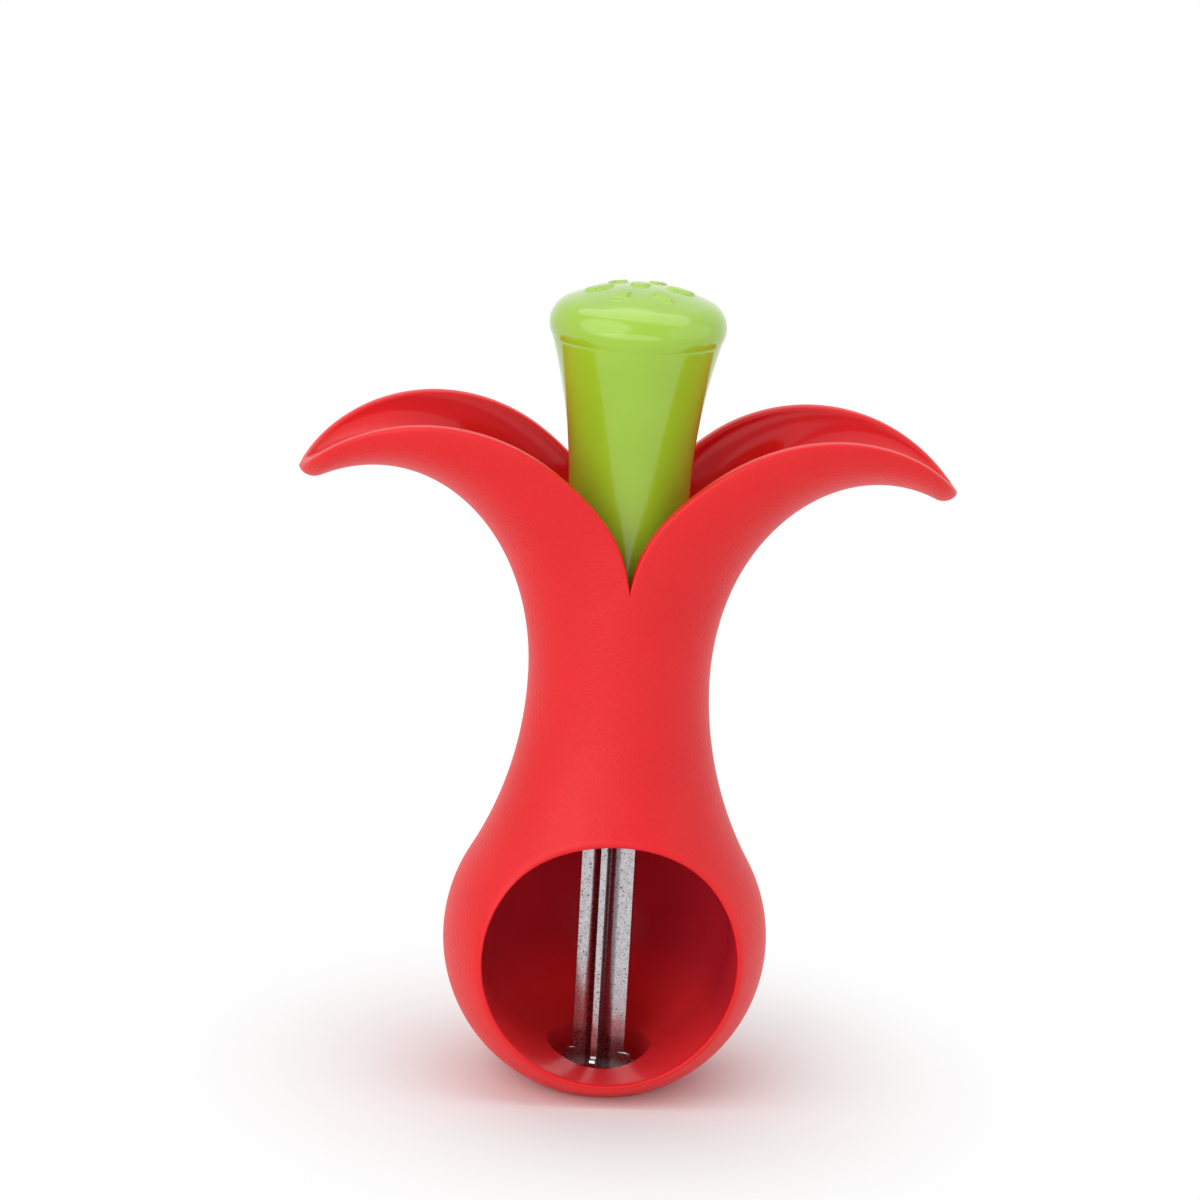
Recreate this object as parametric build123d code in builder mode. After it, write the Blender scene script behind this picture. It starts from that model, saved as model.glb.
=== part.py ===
"""Flower-shaped hand cherry pitter: a red two-petal body, a green push handle and a steel cross rod.

Millimetres, +Z up.  The origin is the centre of the flat ring that the bulb stands on, the chamber's
window faces -Y and the two petals reach along -X and +X.  The rod is down, with its feet in the pit hole.
"""
from build123d import *
from math import asin, atan2, cos, degrees, radians, sin, sqrt, tan
import os

# Bulb: a ball cut flat below, with a round-backed chamber bored in from the front
ball_radius = 22.0
base_ring_radius = 9.2
base_edge_radius = 0.5
bulb_wall = 5.0
chamber_rise = 0.416
pit_hole_radius = 7.0
window_lip_radius = 0.7

# Neck: the waist above the bulb, where the wall opens into the petals
waist_radius = 12.15
waist_height = 57.0
petal_wall = 1.9
floor_thickness = 2.2
bore_corner_radius = 1.2

# Petals: half pipes that bend outwards about a fan axis level with the waist
crest_reach = 33.0
crest_depth = 9.7
rim_rise = 1.681
rim_notch_angle = 22.5
rim_fan_angle = 39.0
rim_taper_angle = 55.0
rim_tip_drop = 8.6
petal_tip_angle = 111.3
tip_round_angle = 1.0
petal_half_width = 13.8
petal_widest_angle = 60.0
petal_flare_angle = 33.0
hollow_end_angle = 2.3
hollow_end_wall = 2.5
hollow_end_depth = 0.35
side_straight = 0.8

# Sections that the petals are lofted through: evenly spread at first, then set back from the tip
even_section_count = 8
tip_section_angles = (34.3, 24.3, 16.3, 9.3, 3.8)
rim_point_count = 12

# Steel rod: a bar with four arms and hollow roots between them, and a foot below each arm
rod_width = 7.4
arm_thickness = 1.0
arm_root_radius = 1.2
foot_overhang = 0.9
foot_height = 2.9
foot_corner_radius = 0.7
crown_depth = 0.6
rod_tip_height = 0.6
rod_angle = -14.0

# Guide: a bush that turns in the neck floor and keys the rod, flange below and snap bead above
guide_wall = 1.02
guide_flange_lip = 1.7
guide_flange_thickness = 1.6
guide_flange_sink = 0.18
guide_rise = 18.5
guide_lead_in = 0.4
snap_bead_depth = 0.4
snap_bead_height = 0.9

# Handle stem: a flared tube with a web across it
stem_foot_wall = 1.8
stem_flare_radius = 8.0
stem_taper_length = 40.2
stem_top_radius = 11.15
stem_length = 60.8
stem_rim_wall = 2.2
stem_edge_radius = 0.15
web_thickness = 3.0
pocket_wall = 1.9
spigot_ledge = 0.6

# Socket, pin and screw: what ties the rod to the stem's web
socket_gap = 1.0
socket_length = 18.95
pin_radius = 1.0
pin_rise = 6.0
pin_end_gap = 0.2
screw_radius = 1.4
screw_bite = 6.0
screw_tip_gap = 1.5
screw_head_radius = 2.8
screw_head_height = 1.9
screw_recess_width = 0.7
screw_recess_span = 2.8
screw_recess_depth = 1.0

# Cap: a dome with a ring of raised beads, pushed into the stem on its spigot
cap_overhang = 0.45
cap_corner_radius = 3.5
cap_dome_radius = 23.6
cap_rise = 6.9
cap_wall = 1.8
spigot_wall = 1.6
spigot_depth = 3.0
bead_count = 6
bead_ring_radius = 5.3
bead_half_length = 2.1
bead_half_width = 1.2
centre_bead_radius = 1.5
bead_rise = 0.35

# Clearances
slide_clearance = 0.3
running_clearance = 0.08
axial_clearance = 0.12
fit_clearance = 0.05

# Sizes that follow from the ones above, from the base upwards
ball_height = sqrt(ball_radius**2 - base_ring_radius**2)
chamber_radius = ball_radius - bulb_wall
chamber_height = ball_height + chamber_rise
neck_rise = waist_height - ball_height
flare_radius = (waist_radius**2 + neck_rise**2 - ball_radius**2) / (2 * (ball_radius - waist_radius))
shoulder_share = ball_radius / (ball_radius + flare_radius)
shoulder = (shoulder_share * (waist_radius + flare_radius), ball_height + shoulder_share * neck_rise)
neck_bore_radius = waist_radius - petal_wall

rim_radius = crest_reach / cos(radians(rim_notch_angle)) + rim_rise
underside_rise = rim_radius - crest_depth
notch_height = waist_height + crest_reach * tan(radians(rim_notch_angle))

guide_tube_radius = rod_width / 2 + running_clearance + guide_wall
guide_flange_radius = guide_tube_radius + guide_flange_lip
guide_flange_bottom = chamber_height + chamber_radius + guide_flange_sink
guide_flange_top = guide_flange_bottom + guide_flange_thickness
flange_recess_height = guide_flange_top + axial_clearance
floor_height = flange_recess_height + floor_thickness
bead_bottom_height = floor_height + axial_clearance
guide_top_height = floor_height + guide_rise

stem_bore_radius = guide_tube_radius + snap_bead_depth + slide_clearance
stem_foot_radius = stem_bore_radius + stem_foot_wall
stem_foot_height = floor_height + slide_clearance
stem_flare_height = stem_foot_height + stem_taper_length
stem_top_height = stem_foot_height + stem_length

socket_radius = stem_bore_radius - fit_clearance
socket_bottom_height = guide_top_height + socket_gap
socket_top_height = socket_bottom_height + socket_length
pin_height = socket_bottom_height + pin_rise
web_height = socket_top_height + fit_clearance
web_top_height = web_height + web_thickness

foot_reach = rod_width / 2 + foot_overhang
rod_top_height = web_height - screw_bite - screw_tip_gap
crown_radius = (foot_reach**2 + crown_depth**2) / (2 * crown_depth)
rod_travel = guide_flange_bottom - slide_clearance - (rod_tip_height + foot_height)

cap_seat_height = stem_top_height + fit_clearance
cap_radius = stem_top_radius + cap_overhang
spigot_bore_radius = stem_top_radius - stem_rim_wall
spigot_radius = spigot_bore_radius - fit_clearance
spigot_bottom_height = cap_seat_height - spigot_depth
corner_reach = cap_radius - cap_corner_radius
corner_rise = sqrt((cap_dome_radius - cap_corner_radius) ** 2 - corner_reach**2)
dome_centre_height = stem_top_height + cap_rise - cap_dome_radius
corner_height = dome_centre_height + corner_rise


def fan_plane(angle):
    """Plane through the petal's fan axis, at angle degrees above the waist; its y runs outwards."""
    tilt = radians(angle)
    return Plane(origin=(crest_reach, 0, waist_height), x_dir=(0, 1, 0), z_dir=(sin(tilt), 0, cos(tilt)))


def rim_distance(angle):
    """Distance from the fan axis to the petal's rim: round, drawn in to the notch and to the tip."""
    dip = max(0, rim_fan_angle - angle) / (rim_fan_angle - rim_notch_angle)
    taper = max(0, angle - rim_taper_angle) / (petal_tip_angle - rim_taper_angle)
    return rim_radius - rim_rise * dip**2 - rim_tip_drop * taper**2


def rim_point(angle):
    """Point of the rim line in the X-Z plane."""
    distance = rim_distance(angle)
    tilt = radians(angle)
    return (crest_reach - distance * cos(tilt), waist_height + distance * sin(tilt))


def underside_distance(angle):
    """Distance from the fan axis to the petal's underside, a quarter of an ellipse and a little more."""
    across = cos(radians(angle)) / (crest_reach - waist_radius)
    up = sin(radians(angle)) / underside_rise
    return 1 / sqrt(across**2 + up**2)


def section_half_width(angle):
    """Half the petal's width: the waist's, swelling to the widest section, then a round tip."""
    if angle >= petal_widest_angle:
        along = (angle - petal_widest_angle) / (petal_tip_angle + tip_round_angle - petal_widest_angle)
        return petal_half_width * sqrt(1 - along**2)
    along = max(0, angle - petal_flare_angle) / (petal_widest_angle - petal_flare_angle)
    swell = along**2 * (3 - 2 * along)
    return waist_radius + (petal_half_width - waist_radius) * swell


def section_centre(angle):
    """Distance from the fan axis to the ellipse's centre: at the rim, or at the body's middle plane."""
    if angle < rim_notch_angle:
        return crest_reach / cos(radians(angle)) - side_straight * angle / rim_notch_angle
    return rim_distance(angle)


def petal_section(angle, half_width, depth, rise):
    """Half ellipse across the petal, with straight sides that go rise above it."""
    centre = section_centre(angle)
    with BuildSketch(fan_plane(angle)) as section:
        with BuildLine():
            EllipticalCenterArc((0, centre), half_width, depth, start_angle=180, arc_size=180)
            Polyline(
                (half_width, centre), (half_width, centre + rise),
                (-half_width, centre + rise), (-half_width, centre),
            )
        make_face()
    return section.sketch


def skin_section(angle, wall, rise):
    """Section of the petal's skin, or of the hollow that lies wall inside it."""
    depth = section_centre(angle) - underside_distance(angle)
    return petal_section(angle, section_half_width(angle) - wall, depth - wall, rise)


def rod_plane(angle):
    """Upright plane through the rod's axis, turned by angle degrees from the X-Z plane."""
    turn = radians(angle)
    return Plane(origin=(0, 0, 0), x_dir=(cos(turn), sin(turn), 0), z_dir=(sin(turn), -cos(turn), 0))


def foot_section(angle):
    """Upright section of two opposite feet, rounded above."""
    with BuildSketch(rod_plane(angle)) as feet:
        with Locations((0, rod_tip_height)):
            Rectangle(2 * foot_reach, foot_height, align=(Align.CENTER, Align.MIN))
        fillet(feet.vertices().group_by(Axis.Y)[-1], foot_corner_radius)
    return feet.sketch


def cross_section(height, clearance):
    """The rod's cross seen from above, wider by clearance all round, at a height."""
    with BuildSketch(Plane.XY.offset(height)) as cross:
        for angle in (rod_angle, rod_angle + 90):
            Rectangle(rod_width + 2 * clearance, arm_thickness + 2 * clearance, rotation=angle)
        roots = cross.vertices().sort_by_distance((0, 0))[:4]
        fillet(roots, arm_root_radius - clearance)
    return cross.sketch


# Bulb and neck, with the cherry's chamber, the pit hole and the guide's hole
with BuildPart() as bulb:
    with BuildSketch(Plane.XZ) as bulb_outline:
        with BuildLine():
            ball = ThreePointArc((base_ring_radius, 0), (ball_radius, ball_height), shoulder)
            flare = TangentArc(shoulder, (waist_radius, waist_height), tangent=ball % 1)
            Polyline(
                flare @ 1, (neck_bore_radius, waist_height), (neck_bore_radius, floor_height),
                (0, floor_height), (0, 0), (base_ring_radius, 0),
            )
        make_face()
        bore_corner = bulb_outline.vertices().sort_by_distance((neck_bore_radius, floor_height))[0]
        fillet(bore_corner, bore_corner_radius)
    revolve(axis=Axis.Z)

    with BuildSketch(Plane.XY.offset(chamber_height)):
        with BuildLine():
            back = CenterArc((0, 0), chamber_radius, 0, 90)
            Polyline(back @ 0, (chamber_radius, -ball_radius), (0, -ball_radius), back @ 1)
        make_face()
    revolve(axis=Axis((0, 0, chamber_height), (0, 1, 0)), mode=Mode.SUBTRACT)
    with BuildSketch(Plane.XY):
        Circle(pit_hole_radius)
    extrude(amount=chamber_height, mode=Mode.SUBTRACT)
    with BuildSketch(Plane.XY.offset(chamber_height)):
        Circle(guide_tube_radius + running_clearance)
    extrude(amount=floor_height - chamber_height, mode=Mode.SUBTRACT)
    with BuildSketch(Plane.XY.offset(chamber_height)):
        Circle(guide_flange_radius + running_clearance)
    extrude(amount=flange_recess_height - chamber_height, mode=Mode.SUBTRACT)
    fillet(bulb.edges().group_by(Axis.Z)[0], base_edge_radius)
    hollow_edges = bulb.edges().filter_by_position(Axis.Z, 0, floor_height)
    fillet(hollow_edges.filter_by_position(Axis.Y, -ball_radius, -chamber_radius / 2), window_lip_radius)

# Body: both petals on the neck and the bulb in one moulding
even_step = (petal_tip_angle - tip_section_angles[0]) / (even_section_count - 1)
section_angles = [even_step * index for index in range(even_section_count)]
section_angles += [petal_tip_angle - angle for angle in tip_section_angles[1:]]
end_angle = petal_tip_angle - hollow_end_angle
rim_step = (petal_tip_angle - rim_notch_angle) / rim_point_count
rim_points = [rim_point(rim_notch_angle + rim_step * index) for index in range(1, rim_point_count + 1)]
tip_x, tip_z = rim_points[-1]

with BuildPart() as petal_body:
    loft([skin_section(angle, 0, petal_wall) for angle in section_angles + [petal_tip_angle]])
    hollow_sections = [skin_section(angle, petal_wall, 2 * petal_wall) for angle in section_angles]
    end_half_width = section_half_width(end_angle) - hollow_end_wall
    hollow_sections.append(petal_section(end_angle, end_half_width, hollow_end_depth, 2 * petal_wall))
    loft(hollow_sections, mode=Mode.SUBTRACT)
    with BuildSketch(Plane.XZ):
        with BuildLine():
            rim = Spline((0, notch_height), *rim_points)
            Polyline(
                rim @ 1, (tip_x + petal_wall, tip_z - petal_wall), (tip_x + petal_wall, waist_height),
                (0, waist_height), (0, notch_height),
            )
        make_face()
    extrude(amount=petal_half_width + petal_wall, both=True, mode=Mode.INTERSECT)
    mirror(about=Plane.YZ)
    add(bulb.part)
petal_body.part.label = "petal_body"

# Guide bush, turned by the rod's cross and held in the floor between its flange and its snap bead
with BuildPart() as rod_guide:
    with BuildSketch(Plane.XZ):
        with BuildLine():
            Polyline(
                (0, guide_flange_bottom), (guide_flange_radius, guide_flange_bottom),
                (guide_flange_radius, guide_flange_top), (guide_tube_radius, guide_flange_top),
                (guide_tube_radius, bead_bottom_height),
                (guide_tube_radius + snap_bead_depth, bead_bottom_height + snap_bead_depth / 2),
                (guide_tube_radius, bead_bottom_height + snap_bead_height),
                (guide_tube_radius, guide_top_height - guide_lead_in),
                (guide_tube_radius - guide_lead_in, guide_top_height), (0, guide_top_height), close=True,
            )
        make_face()
    revolve(axis=Axis.Z)
    extrude(
        cross_section(guide_flange_bottom, running_clearance),
        amount=guide_top_height - guide_flange_bottom, mode=Mode.SUBTRACT,
    )
rod_guide.part.label = "rod_guide"

# Rod: the cross drawn up to its top, feet and all, with a hollow crown between the feet
with BuildPart() as pit_rod:
    extrude(cross_section(rod_tip_height, 0), amount=rod_top_height - rod_tip_height)
    for angle in (rod_angle, rod_angle + 90):
        extrude(foot_section(angle), amount=arm_thickness / 2, both=True)
    with Locations((0, 0, rod_tip_height + crown_depth - crown_radius)):
        Sphere(crown_radius, mode=Mode.SUBTRACT)
    with BuildSketch(rod_plane(rod_angle + 45)):
        with Locations((0, pin_height)):
            Circle(pin_radius + fit_clearance)
    extrude(amount=rod_width, both=True, mode=Mode.SUBTRACT)
pit_rod.part.label = "pit_rod"

# Socket inside the stem that the rod's top stands in, with the pin that holds it there
with BuildPart() as rod_socket:
    with BuildSketch(Plane.XY.offset(socket_bottom_height)):
        Circle(socket_radius)
    extrude(amount=socket_top_height - socket_bottom_height)
    extrude(
        cross_section(socket_bottom_height, fit_clearance),
        amount=rod_top_height + fit_clearance - socket_bottom_height, mode=Mode.SUBTRACT,
    )
    with BuildSketch(Plane.XY.offset(socket_top_height)):
        Circle(screw_radius + fit_clearance)
    extrude(amount=-screw_bite - fit_clearance, mode=Mode.SUBTRACT)
    with BuildSketch(rod_plane(rod_angle + 45)):
        with Locations((0, pin_height)):
            Circle(pin_radius + fit_clearance)
    extrude(amount=socket_radius, both=True, mode=Mode.SUBTRACT)
rod_socket.part.label = "rod_socket"

with BuildPart() as rod_pin:
    with BuildSketch(rod_plane(rod_angle + 45)):
        with Locations((0, pin_height)):
            Circle(pin_radius)
    extrude(amount=socket_radius - pin_end_gap, both=True)
    chamfer(rod_pin.edges().filter_by(GeomType.CIRCLE), pin_end_gap)
rod_pin.part.label = "rod_pin"

# Stem: slides down round the guide's tube until its foot meets the neck floor
with BuildPart() as handle_stem:
    with BuildSketch(Plane.XZ) as stem_outline:
        with BuildLine():
            taper = Line((stem_foot_radius, stem_foot_height), (stem_flare_radius, stem_flare_height))
            trumpet = TangentArc(taper @ 1, (stem_top_radius, stem_top_height), tangent=taper % 1)
            Polyline(
                trumpet @ 1, (spigot_bore_radius, stem_top_height),
                (spigot_bore_radius, spigot_bottom_height - fit_clearance),
                (spigot_radius - spigot_ledge, spigot_bottom_height - fit_clearance),
                (stem_flare_radius - pocket_wall, web_top_height), (0, web_top_height), (0, web_height),
                (stem_bore_radius, web_height), (stem_bore_radius, stem_foot_height), taper @ 0,
            )
        make_face()
        corners = stem_outline.vertices()
        outer_corners = [corners.sort_by_distance(point)[0] for point in (
            (stem_foot_radius, stem_foot_height), (stem_top_radius, stem_top_height))]
        fillet(outer_corners, stem_edge_radius)
    revolve(axis=Axis.Z)
    with BuildSketch(Plane.XY.offset(web_height)):
        Circle(screw_radius + running_clearance)
    extrude(amount=web_thickness, mode=Mode.SUBTRACT)
handle_stem.part.label = "handle_stem"

# Screw through the web into the socket
with BuildPart() as socket_screw:
    with BuildSketch(Plane.XY.offset(web_top_height)):
        Circle(screw_head_radius)
    extrude(amount=screw_head_height)
    fillet(socket_screw.edges().group_by(Axis.Z)[-1], screw_head_height / 3)
    with BuildSketch(Plane.XY.offset(web_top_height)):
        Circle(screw_radius)
    extrude(amount=-web_thickness - screw_bite)
    chamfer(socket_screw.edges().group_by(Axis.Z)[0], screw_radius / 3)
    with BuildSketch(Plane.XY.offset(web_top_height + screw_head_height)):
        Rectangle(screw_recess_span, screw_recess_width)
        Rectangle(screw_recess_width, screw_recess_span)
    extrude(amount=-screw_recess_depth, mode=Mode.SUBTRACT)
socket_screw.part.label = "socket_screw"

# Cap, domed, with its relief of raised beads
with BuildPart() as cap_relief:
    with BuildSketch(Plane.XY.offset(corner_height)):
        Circle(centre_bead_radius)
        with PolarLocations(bead_ring_radius, bead_count):
            Ellipse(bead_half_length, bead_half_width)
    extrude(amount=cap_dome_radius)
    with Locations((0, 0, dome_centre_height)):
        Sphere(cap_dome_radius + bead_rise, mode=Mode.INTERSECT)

with BuildPart() as handle_cap:
    with BuildSketch(Plane.XZ):
        with BuildLine():
            dip = degrees(asin((corner_height - cap_seat_height) / cap_corner_radius))
            lean = degrees(atan2(corner_rise, corner_reach))
            corner = CenterArc((corner_reach, corner_height), cap_corner_radius, -dip, dip + lean)
            dome = CenterArc((0, dome_centre_height), cap_dome_radius, lean, 90 - lean)
            Polyline(
                dome @ 1, (0, spigot_bottom_height), (spigot_radius, spigot_bottom_height),
                (spigot_radius, cap_seat_height), corner @ 0,
            )
        make_face()
    revolve(axis=Axis.Z)
    add(cap_relief.part)
    with BuildSketch(Plane.XZ):
        with BuildLine():
            hollow_radius = spigot_radius - spigot_wall
            roof_radius = cap_dome_radius - cap_wall
            hollow_lean = degrees(atan2(sqrt(roof_radius**2 - hollow_radius**2), hollow_radius))
            roof = CenterArc((0, dome_centre_height), roof_radius, hollow_lean, 90 - hollow_lean)
            Polyline(
                roof @ 1, (0, spigot_bottom_height), (hollow_radius, spigot_bottom_height), roof @ 0
            )
        make_face()
    revolve(axis=Axis.Z, mode=Mode.SUBTRACT)
handle_cap.part.label = "handle_cap"

os.makedirs("parts", exist_ok=True)
for piece in (
    petal_body, rod_guide, pit_rod, rod_socket, rod_pin, handle_stem, socket_screw, handle_cap,
):
    export_step(piece.part, f"parts/{piece.part.label}.step")
print(f"rod travel {rod_travel:.2f} mm, guide flange bottom {guide_flange_bottom:.2f} mm")
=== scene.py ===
"""Dressed model of a flower-shaped hand cherry pitter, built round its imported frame.

Shapes are worked out in millimetres, in the frame's own axes: Z up along the rod, -Y out of the
chamber's window, the petals along -X and +X.  Skin.mesh() turns them into metres.
"""
import logging
import math
from collections.abc import Sequence
from dataclasses import dataclass, field
from enum import Enum
from typing import Any

import bmesh
import bpy
import numpy as np
from mathutils import Matrix, Vector
from numpy.typing import NDArray


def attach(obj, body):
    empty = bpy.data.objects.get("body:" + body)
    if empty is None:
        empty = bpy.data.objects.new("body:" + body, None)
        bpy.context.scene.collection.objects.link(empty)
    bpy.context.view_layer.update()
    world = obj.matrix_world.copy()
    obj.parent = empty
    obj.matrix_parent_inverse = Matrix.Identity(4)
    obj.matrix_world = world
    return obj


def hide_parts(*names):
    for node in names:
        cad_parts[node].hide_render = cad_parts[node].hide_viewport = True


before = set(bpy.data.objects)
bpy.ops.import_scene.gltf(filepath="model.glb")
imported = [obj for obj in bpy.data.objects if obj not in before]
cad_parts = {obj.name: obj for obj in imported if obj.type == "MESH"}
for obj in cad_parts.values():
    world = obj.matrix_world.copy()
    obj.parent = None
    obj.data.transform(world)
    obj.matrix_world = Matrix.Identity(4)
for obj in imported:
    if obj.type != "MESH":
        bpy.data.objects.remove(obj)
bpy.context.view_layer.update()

Points = NDArray[np.float64]
Pair = tuple[float, float]
Triple = tuple[float, float, float]
Colour = tuple[float, float, float, float]

MM = 0.001
WELD_DISTANCE = 2e-6

log = logging.getLogger("cherry_pitter")


class Zone(Enum):
    """Which of a piece's finishes a stretch of its surface takes."""

    OUTER = 0
    INNER = 1
    EDGE = 2
    CHAMBER = 3


class Body(Enum):
    """The bodies of the frame that pieces ride on."""

    MOULDING = "body"
    PLUNGER = "plunger"


class Slot(Enum):
    """The record's material slots."""

    RED = "red_body"
    GUIDE = "guide_plastic"
    GREEN = "green_handle"
    STEEL = "rod_steel"


def srgb(red: int, green: int, blue: int) -> Colour:
    """Turn screen levels into the linear colour that a shader reads.

    Args:
        red: Red level, 0 to 255.
        green: Green level, 0 to 255.
        blue: Blue level, 0 to 255.

    Returns:
        Linear red, green and blue, with an alpha of 1.
    """
    levels = [level / 255 for level in (red, green, blue)]
    linear = [level / 12.92 if level <= 0.04045 else ((level + 0.055) / 1.055) ** 2.4 for level in levels]
    return (linear[0], linear[1], linear[2], 1.0)


def ease(share: Points) -> Points:
    """Rise smoothly from 0 to 1 as the share does: 3s^2 - 2s^3, held outside."""
    held = np.clip(share, 0, 1)
    return held * held * (3 - 2 * held)


def line(corners: Sequence[Pair], *counts: int) -> Points:
    """Points along the straight stretches between a profile's corners, with a count of steps for each."""
    stretches = zip(corners, corners[1:], counts)
    return chain(*(np.linspace(start, end, count + 1) for start, end, count in stretches))


def arc(centre: Pair, radius: float, start: float, end: float, count: int) -> Points:
    """Points of a round stretch: centre + radius (cos a, sin a), a in degrees from outwards to +Z."""
    angle = np.radians(np.linspace(start, end, count + 1))
    return np.stack((centre[0] + radius * np.cos(angle), centre[1] + radius * np.sin(angle)), axis=-1)


def flaring_arc(start: Pair, end: Pair, heading: Pair, count: int) -> Points:
    """Points of the arc that leaves start along heading and ends at end, bending outwards.

    The centre lies on the normal n at start, at the radius |d|^2 / (2 d.n) where d = end - start, and
    the arc turns by 2 asin(|d| / 2R).

    Args:
        start: First radius and height.
        end: Last radius and height.
        heading: Direction of the arc at its start.
        count: Number of steps.

    Returns:
        The points, count + 1 by two.
    """
    along = np.array(heading) / np.linalg.norm(heading)
    normal = np.array((along[1], -along[0]))
    span = np.subtract(end, start)
    radius = span @ span / (2 * span @ normal)
    turn = np.linspace(0, 2 * math.asin(np.linalg.norm(span) / (2 * radius)), count + 1)[:, None]
    return start + radius * (normal * (1 - np.cos(turn)) + along * np.sin(turn))


def chain(*stretches: Points) -> Points:
    """Join stretches of a profile end to end, with each meeting point kept once."""
    return np.concatenate([stretches[0]] + [stretch[1:] for stretch in stretches[1:]])


def turned(radius: Points, height: Points, turn: Points) -> Points:
    """Points turned about Z from -Y towards +X: x = r sin(turn), y = -r cos(turn), z = height."""
    return np.stack((radius * np.sin(turn), -radius * np.cos(turn), height + 0 * turn), axis=-1)


def revolve(profile: Points, turns: Points) -> Points:
    """Carry a profile of radii and heights round the Z axis, with a row of points for each of its own."""
    return turned(profile[:, :1], profile[:, 1:], turns)


def rounded(start: Points, corner: Points, end: Points, count: int = 5) -> Points:
    """Strip that rounds a corner: (1-s)^2 start + 2s(1-s) corner + s^2 end, for s from 0 to 1."""
    share = np.linspace(0, 1, count + 1)[:, None, None]
    return (1 - share) ** 2 * start + 2 * share * (1 - share) * corner + share**2 * end


def between(start: Points, end: Points, count: int) -> Points:
    """Straight strip from one row of points to another, in count steps."""
    share = np.linspace(0, 1, count + 1)[:, None, None]
    return start + share * (end - start)


class Skin:
    """Sheets of quads that are welded into one closed mesh."""

    def __init__(self) -> None:
        """Start with no sheets."""
        self.sheets: list[tuple[Points, Zone]] = []

    def add(self, points: Points, zone: Zone = Zone.OUTER) -> None:
        """Keep a sheet, rows by columns by three, with a quad between every four neighbours."""
        self.sheets.append((points, zone))

    def mirror(self) -> None:
        """Add the mirror image of every sheet, from +X to -X."""
        self.sheets += [(points * (-1, 1, 1), zone) for points, zone in self.sheets]

    def mesh(self, name: str, sharp_angle: float = 38.0) -> bpy.types.Mesh:
        """Weld the sheets, turn every face outwards and shade them smooth.

        Args:
            name: The mesh's name.
            sharp_angle: Edges that turn by more than this, in degrees, stay crisp.

        Returns:
            The mesh, in metres.
        """
        points, faces, zones, first = [], [], [], 0
        for sheet, zone in self.sheets:
            rows, columns = sheet.shape[:2]
            index = first + np.arange(rows * columns).reshape(rows, columns)
            quads = np.stack((index[:-1, :-1], index[:-1, 1:], index[1:, 1:], index[1:, :-1]), axis=-1)
            points.append(sheet.reshape(-1, 3) * MM)
            faces.append(quads.reshape(-1, 4))
            zones.append(np.full((rows - 1) * (columns - 1), zone.value, np.int32))
            first += rows * columns
        mesh = bpy.data.meshes.new(name)
        mesh.from_pydata(np.concatenate(points).tolist(), [], np.concatenate(faces).tolist())
        mesh.polygons.foreach_set("material_index", np.concatenate(zones))
        work = bmesh.new()
        work.from_mesh(mesh)
        bmesh.ops.remove_doubles(work, verts=work.verts, dist=WELD_DISTANCE)
        bmesh.ops.recalc_face_normals(work, faces=work.faces)
        open_edges = len([edge for edge in work.edges if not edge.is_manifold])
        log.info("%s: %d faces, %d open edges, %.0f mm3", name, len(work.faces), open_edges,
                 work.calc_volume(signed=True) / MM**3)
        work.to_mesh(mesh)
        work.free()
        mesh.shade_smooth()
        mesh.set_sharp_from_angle(angle=math.radians(sharp_angle))
        return mesh


class Value:
    """One number of a node tree, with Math nodes behind its operators."""

    def __init__(self, nodes: "Nodes", socket: bpy.types.NodeSocket) -> None:
        """Wrap a node's output."""
        self.nodes = nodes
        self.socket = socket

    def math(self, operation: str, first: "Value | float", second: "Value | float") -> "Value":
        """Add the Math node of one operation on two numbers."""
        node = self.nodes.node("ShaderNodeMath", {"operation": operation}, {0: first, 1: second})
        return Value(self.nodes, node.outputs[0])

    def __add__(self, other: "Value | float") -> "Value":
        """Add a number."""
        return self.math("ADD", self, other)

    def __sub__(self, other: "Value | float") -> "Value":
        """Take away a number."""
        return self.math("SUBTRACT", self, other)

    def __rsub__(self, other: float) -> "Value":
        """Take this away from a number on the left."""
        return self.math("SUBTRACT", other, self)

    def __mul__(self, other: "Value | float") -> "Value":
        """Multiply by a number."""
        return self.math("MULTIPLY", self, other)

    __radd__ = __add__
    __rmul__ = __mul__

    def step(self, edge: float, width: float) -> "Value":
        """Rise from 0 to 1 over a width that starts at edge."""
        node = self.nodes.node("ShaderNodeMapRange", {"interpolation_type": "SMOOTHSTEP"},
                               {"Value": self, "From Min": edge, "From Max": edge + width})
        return Value(self.nodes, node.outputs[0])


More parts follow.
